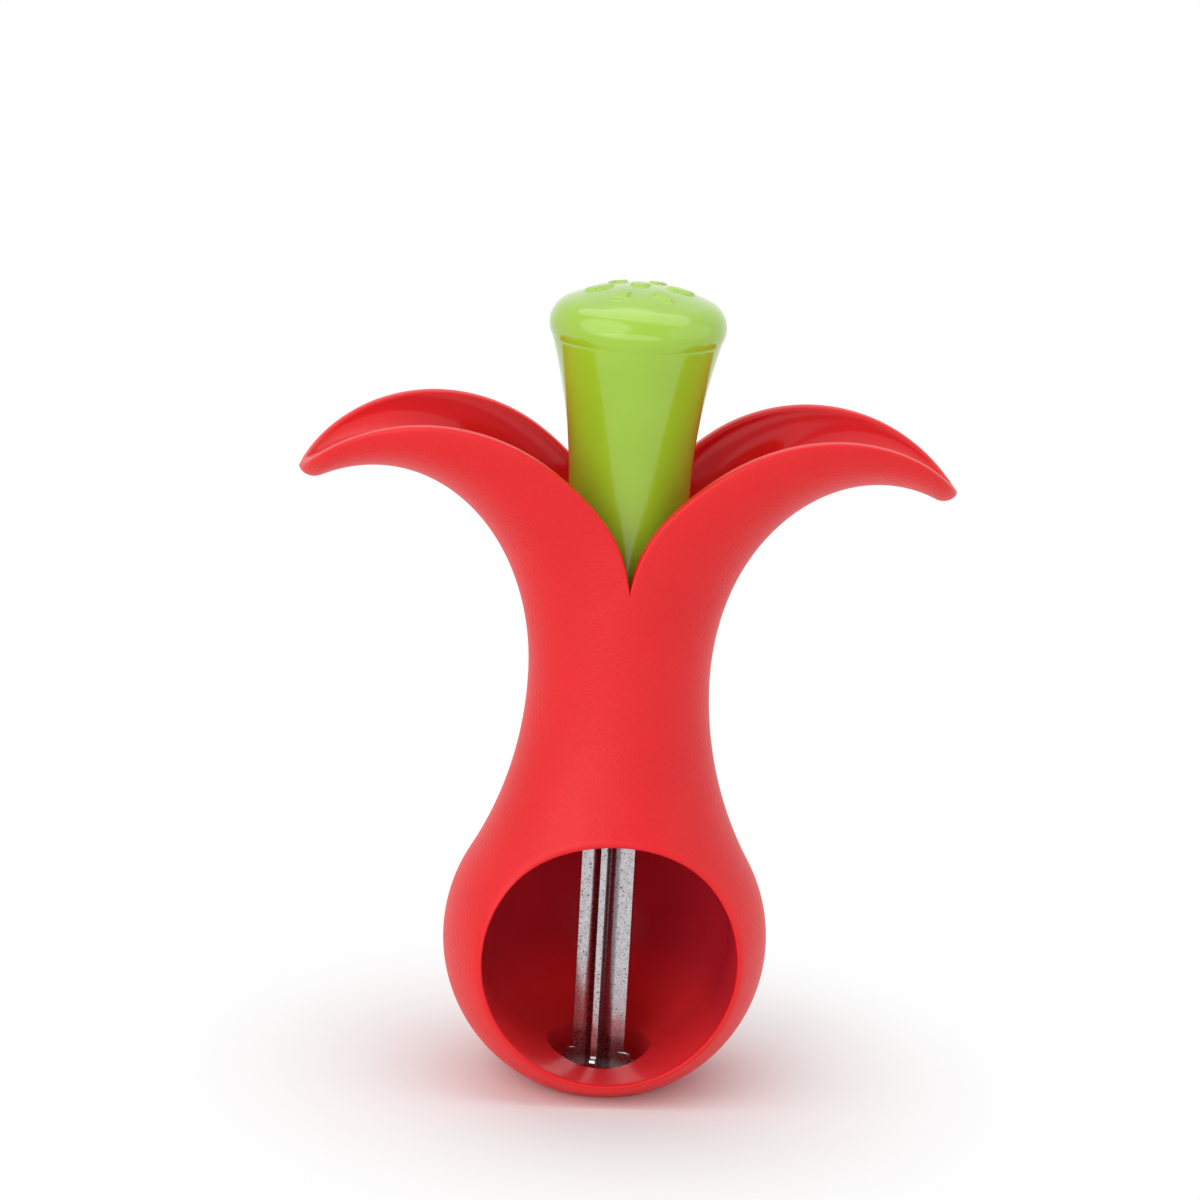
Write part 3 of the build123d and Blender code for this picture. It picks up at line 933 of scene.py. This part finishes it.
@dataclass
class PushHandle:
    """The green stem and its domed cap, both turned about Z."""

    bore_radius: float = 5.5
    foot_wall: float = 1.8
    foot_height: float = 41.8
    flare_radius: float = 8.0
    taper_length: float = 40.2
    top_radius: float = 11.15
    length: float = 60.8
    rim_wall: float = 2.2
    edge_radius: float = 0.015
    rim_lean: float = 8.0
    web_height: float = 80.0
    web_thickness: float = 3.0
    screw_hole_radius: float = 1.48
    pocket_wall: float = 1.9
    ledge: float = 0.6
    fit: float = 0.05

    cap_overhang: float = 0.45
    corner_radius: float = 3.5
    dome_radius: float = 23.6
    cap_rise: float = 6.9
    cap_wall: float = 1.8
    spigot_wall: float = 1.6
    spigot_depth: float = 3.0
    bead_count: int = 6
    bead_ring_radius: float = 5.3
    bead_half_length: float = 2.1
    bead_half_width: float = 1.2
    centre_bead_radius: float = 1.5
    bead_rise: float = 0.35
    bead_edge: float = 0.3

    turn_steps: int = 192

    turns: Points = field(init=False)
    top_height: float = field(init=False)
    spigot_bore: float = field(init=False)
    spigot_bottom: float = field(init=False)

    def __post_init__(self) -> None:
        """Work out the heights and radii that both pieces share."""
        self.turns = np.linspace(0, 2 * math.pi, self.turn_steps + 1)
        self.top_height = self.foot_height + self.length
        self.spigot_bore = self.top_radius - self.rim_wall
        self.spigot_bottom = self.top_height + self.fit - self.spigot_depth

    def build_stem(self) -> bpy.types.Object:
        """Turn the stem: a closed profile up the outside, over the rim and down the inside.

        Returns:
            The piece.
        """
        edge, bore, foot, top = self.edge_radius, self.bore_radius, self.foot_height, self.top_height
        foot_radius = bore + self.foot_wall
        web, web_top = self.web_height, self.web_height + self.web_thickness
        ledge_height = self.spigot_bottom - self.fit
        heading = (self.flare_radius - foot_radius, self.taper_length)
        lean = math.degrees(math.atan2(*heading))
        flare_start = (self.flare_radius, foot + self.taper_length)
        profile = chain(
            line(((bore, foot), (foot_radius - edge, foot)), 2),
            arc((foot_radius - edge, foot + edge), edge, -90, -lean, 5),
            line(((foot_radius, foot + edge), flare_start), 40),
            flaring_arc(flare_start, (self.top_radius, top), heading, 40)[:-1],
            arc((self.top_radius - edge, top - edge), edge, -self.rim_lean, 90, 6),
            line(((self.top_radius - edge, top), (self.spigot_bore, top), (self.spigot_bore, ledge_height),
                  (self.spigot_bore - self.fit - self.ledge, ledge_height),
                  (self.flare_radius - self.pocket_wall, web_top), (self.screw_hole_radius, web_top),
                  (self.screw_hole_radius, web), (bore, web), (bore, foot)), 2, 4, 2, 10, 3, 2, 3, 30))
        skin = Skin()
        skin.add(revolve(profile, self.turns))
        mesh = skin.mesh("handle_stem_shell")
        return dress(mesh, "handle_stem", Body.PLUNGER, Slot.GREEN, GREEN_POLISHED)

    def bead_height(self, x: Points, y: Points) -> Points:
        """Relief of the cap: a round bead in the middle and a ring of ovals, each with eased sides.

        Args:
            x: Places across the dome.
            y: Places from front to back.

        Returns:
            How far the relief stands out of the dome there.
        """
        depth = [1 - np.hypot(x, y) / self.centre_bead_radius]
        for index in range(self.bead_count):
            turn = 2 * math.pi * index / self.bead_count
            along = x * math.cos(turn) + y * math.sin(turn) - self.bead_ring_radius
            aside = y * math.cos(turn) - x * math.sin(turn)
            depth.append(1 - np.hypot(along / self.bead_half_length, aside / self.bead_half_width))
        return self.bead_rise * ease(np.max(depth, axis=0) / self.bead_edge)

    def build_cap(self) -> bpy.types.Object:
        """Turn the cap: dome with its relief, skirt, and the hollow spigot below.

        Returns:
            The piece.
        """
        corner, edge, seat = self.corner_radius, self.edge_radius, self.top_height
        reach = self.top_radius + self.cap_overhang - corner
        rise = math.sqrt((self.dome_radius - corner) ** 2 - reach**2)
        centre = seat + self.cap_rise - self.dome_radius
        lean = math.degrees(math.atan2(rise, reach))
        dip = math.asin((centre + rise - seat - edge) / corner)
        skirt = reach + corner * math.cos(dip)
        spigot = self.spigot_bore - self.fit
        hollow = spigot - self.spigot_wall
        roof = self.dome_radius - self.cap_wall
        dome = revolve(arc((0, centre), self.dome_radius, 90, lean, 90), self.turns)
        outward = (dome - (0, 0, centre)) / self.dome_radius
        dome = dome + outward * self.bead_height(dome[..., 0], dome[..., 1])[..., None]
        below = chain(
            arc((reach, centre + rise), corner, lean, -math.degrees(dip), 22),
            arc((skirt - edge, seat + edge), edge, 0, -90, 3),
            line(((skirt - edge, seat), (spigot, seat), (spigot, self.spigot_bottom),
                  (hollow, self.spigot_bottom), (hollow, centre + math.sqrt(roof**2 - hollow**2))),
                 2, 3, 2, 6),
            arc((0, centre), roof, math.degrees(math.acos(hollow / roof)), 90, 10))
        skin = Skin()
        skin.add(dome)
        skin.add(revolve(below, self.turns))
        mesh = skin.mesh("handle_cap_shell")
        return dress(mesh, "handle_cap", Body.PLUNGER, Slot.GREEN, GREEN_POLISHED)


@dataclass
class PitRod:
    """The steel rod: a bar with four arms and hollow roots between them, and a foot below each arm."""

    width: float = 7.4
    arm_thickness: float = 1.0
    root_radius: float = 1.85
    foot_overhang: float = 0.9
    foot_height: float = 2.9
    foot_corner: float = 0.7
    crown_depth: float = 0.6
    tip_height: float = 0.6
    top_height: float = 72.5
    turn: float = -14.0
    edge_round: float = 0.16

    end_steps: int = 3
    corner_steps: int = 4
    hollow_steps: int = 16
    crown_steps: int = 12
    pole_share: float = 0.02
    sharp_angle: float = 50.0

    def outline(self, reach: Points) -> Points:
        """Outlines of the cross, one for each reach of its arms.

        A quarter runs along half an arm's rounded end, its side, the hollow root and the next arm's
        side; the whole is that quarter turned four times.

        Args:
            reach: Lengths of the arms from the axis.

        Returns:
            Points, number of reaches by outline length by two, closed on itself.
        """
        half, root, edge = self.arm_thickness / 2, self.root_radius, self.edge_round
        centre = half + root
        corner = np.radians(np.linspace(0, 90, self.corner_steps + 1))
        hollow = np.radians(np.linspace(270, 180, self.hollow_steps + 1))
        flat = np.linspace(0, half - edge, self.end_steps + 1)[:-1]
        along = np.concatenate((0 * flat, edge * (np.cos(corner) - 1)))
        aside = np.concatenate((flat, half - edge + edge * np.sin(corner)))
        end = np.stack((reach[:, None] + along, aside + 0 * reach[:, None]), axis=-1)
        middle = centre + root * np.stack((np.cos(hollow), np.sin(hollow)), axis=-1)
        middle = np.broadcast_to(middle, (len(reach), *middle.shape))
        quarter = np.concatenate((end, middle, end[:, :0:-1, ::-1]), axis=1)
        turns = [np.array(((c, s), (-s, c))) for c, s in ((1, 0), (0, 1), (-1, 0), (0, -1))]
        whole = np.concatenate([quarter @ turn for turn in turns], axis=1)
        angle = math.radians(self.turn)
        spin = np.array(((math.cos(angle), math.sin(angle)), (-math.sin(angle), math.cos(angle))))
        return np.concatenate((whole, whole[:, :1]), axis=1) @ spin

    def build(self) -> bpy.types.Object:
        """Carry the cross up its path: out over the crown, up the feet, in over them and to the top.

        The crown is a shallow ball's surface, z = tip + depth - R + sqrt(R^2 - r^2), under the feet.

        Returns:
            The piece.
        """
        half, edge, tip, top = self.width / 2, self.edge_round, self.tip_height, self.top_height
        foot, corner, foot_top = half + self.foot_overhang, self.foot_corner, tip + self.foot_height
        crown = (foot**2 + self.crown_depth**2) / (2 * self.crown_depth)
        path = chain(
            line(((foot, tip), (foot, foot_top - corner)), 3),
            arc((foot - corner, foot_top - corner), corner, 0, 90, 8),
            line(((foot - corner, foot_top), (half, foot_top), (half, top - edge)), 1, 24),
            arc((half - edge, top - edge), edge, 0, 90, 3))
        bottom = self.outline(path[:1, 0])[0]
        inwards = np.linspace(self.pole_share, 1, self.crown_steps + 1)[:, None, None] * bottom
        reach = np.hypot(inwards[..., 0], inwards[..., 1])
        dimple = tip + self.crown_depth - crown + np.sqrt(crown**2 - reach**2)
        under = np.concatenate((inwards, dimple[..., None]), axis=-1)
        walls = self.outline(path[:, 0])
        walls = np.concatenate((walls, path[:, 1][:, None, None] + 0 * walls[..., :1]), axis=-1)
        walls[0] = under[-1]
        lid = np.linspace(1, self.pole_share, 3)[:, None, None] * (walls[-1] * (1, 1, 0)) + (0, 0, top)
        skin = Skin()
        for rows in (under, walls, lid):
            skin.add(rows)
        for ring in (under[:1], lid[-1:]):
            skin.add(np.concatenate((ring, ring * (0, 0, 1))))
        mesh = skin.mesh("pit_rod_bar", self.sharp_angle)
        return dress(mesh, "pit_rod", Body.PLUNGER, Slot.STEEL, STEEL_FACE)


def paint_hidden_pieces() -> None:
    """Give the pieces inside the handle and the neck their finishes."""
    for node in ("rod_pin", "socket_screw"):
        repaint(node, STEEL_EDGE)
    for node in ("rod_socket", "rod_guide"):
        repaint(node, GUIDE_PLASTIC)


@dataclass(frozen=True)
class Softbox:
    """One soft oval lamp. Metres and watts."""

    name: str
    place: Triple
    size: Pair
    power: float

    def hang(self, target: Triple) -> None:
        """Hang it at its place.

        Args:
            target: The point that it faces.
        """
        data = bpy.data.lights.new(self.name, "AREA")
        data.shape = "ELLIPSE"
        data.size, data.size_y = self.size
        data.energy = self.power
        lamp = bpy.data.objects.new(self.name, data)
        lamp.rotation_euler = (Vector(self.place) - Vector(target)).to_track_quat("Z", "Y").to_euler()
        lamp.location = self.place
        bpy.context.scene.collection.objects.link(lamp)


SOFTBOXES = (
    Softbox("key_softbox", (-0.55, -0.42, 0.47), (1.0, 1.0), 3.2),
    Softbox("top_softbox", (0.05, 0.1, 0.85), (1.7, 0.75), 3.9),
    Softbox("fill_softbox", (0.8, -0.3, 0.3), (1.2, 1.0), 1.45),
    Softbox("low_softbox", (-0.15, -0.7, 0.03), (1.2, 0.5), 1.95),
)


@dataclass
class Studio:
    """Pale floor, soft lamps and the camera. Metres, with the camera's aim in pixels of the frame."""

    frame_size: int = 1200
    focal_pixels: float = 3736.7
    target: Triple = (0.0, 0.0, 0.055)
    target_pixel: Pair = (618.2, 688.3)
    distance: float = 0.5
    azimuth: float = -3.95
    elevation: float = 15.75
    roll: float = 3.17
    sensor: float = 36.0
    nearest: float = 0.01
    floor_size: float = 6.0
    shadow_reach: float = 0.016
    fade_reach: float = 0.048
    surround_light: float = 0.43
    floor_colour: Colour = srgb(244, 244, 244)
    white: Colour = srgb(255, 255, 255)

    def camera(self) -> None:
        """Aim the camera: orbit by azimuth and elevation, then roll, and shift the target to its pixel."""
        turn, rise, lean = (math.radians(a) for a in (self.azimuth, self.elevation, self.roll))
        back = Vector((math.sin(turn) * math.cos(rise), -math.cos(turn) * math.cos(rise), math.sin(rise)))
        right = Vector((math.cos(turn), math.sin(turn), 0))
        up = back.cross(right)
        rolled_right = right * math.cos(lean) + up * math.sin(lean)
        rolled_up = up * math.cos(lean) - right * math.sin(lean)
        data = bpy.data.cameras.new("camera")
        data.sensor_width = self.sensor
        data.lens = self.focal_pixels / self.frame_size * self.sensor
        data.shift_x = (self.frame_size / 2 - self.target_pixel[0]) / self.frame_size
        data.shift_y = (self.target_pixel[1] - self.frame_size / 2) / self.frame_size
        data.clip_start = self.nearest
        camera = bpy.data.objects.new("camera", data)
        axes = Matrix((rolled_right, rolled_up, back)).transposed().to_4x4()
        camera.matrix_world = Matrix.Translation(Vector(self.target) + back * self.distance) @ axes
        bpy.context.scene.collection.objects.link(camera)
        bpy.context.scene.camera = camera

    def floor(self) -> None:
        """Lay a pale floor that takes the object's shadow."""
        reach = self.floor_size / 2
        corners = [(-reach, -reach, 0), (reach, -reach, 0), (reach, reach, 0), (-reach, reach, 0)]
        mesh = bpy.data.meshes.new("floor")
        mesh.from_pydata(corners, [], [(0, 1, 2, 3)])
        floor = bpy.data.objects.new("floor", mesh)
        bpy.context.scene.collection.objects.link(floor)
        shader = Shader("pale_floor")
        paint = shader.node("ShaderNodeBsdfDiffuse", {}, {"Color": self.floor_colour})
        glow = shader.node("ShaderNodeEmission", {}, {"Color": self.white, "Strength": 1.0})
        seen = shader.showing_background() * shader.radius().step(self.shadow_reach, self.fade_reach)
        mixed = shader.node("ShaderNodeMixShader", {}, {0: seen, 1: paint.outputs[0], 2: glow.outputs[0]})
        shader.node("ShaderNodeOutputMaterial", {}, {"Surface": mixed.outputs[0]})
        mesh.materials.append(shader.material)

    def world(self) -> None:
        """Fill the surroundings: plain white where they are seen, softer where they light."""
        world = bpy.data.worlds.new("surroundings")
        bpy.context.scene.world = world
        nodes = Nodes(world)
        strength = self.surround_light + nodes.showing_background() * (1 - self.surround_light)
        background = nodes.node("ShaderNodeBackground", {}, {"Color": self.white, "Strength": strength})
        nodes.node("ShaderNodeOutputWorld", {}, {"Surface": background.outputs[0]})

    def build(self) -> None:
        """Set up the whole studio."""
        self.camera()
        self.floor()
        self.world()
        for softbox in SOFTBOXES:
            softbox.hang(self.target)
        bpy.context.scene.view_settings.view_transform = "Standard"


def main() -> None:
    """Build every piece in order, then the studio."""
    logging.basicConfig(level=logging.INFO, format="%(name)s: %(message)s")
    handle = PushHandle()
    for piece in (RedMoulding().build(), handle.build_stem(), handle.build_cap(), PitRod().build()):
        log.info("piece %s wears %s", piece.name, ", ".join(piece.data.materials.keys()))
    paint_hidden_pieces()
    Studio().build()


if __name__ == "__main__":
    main()
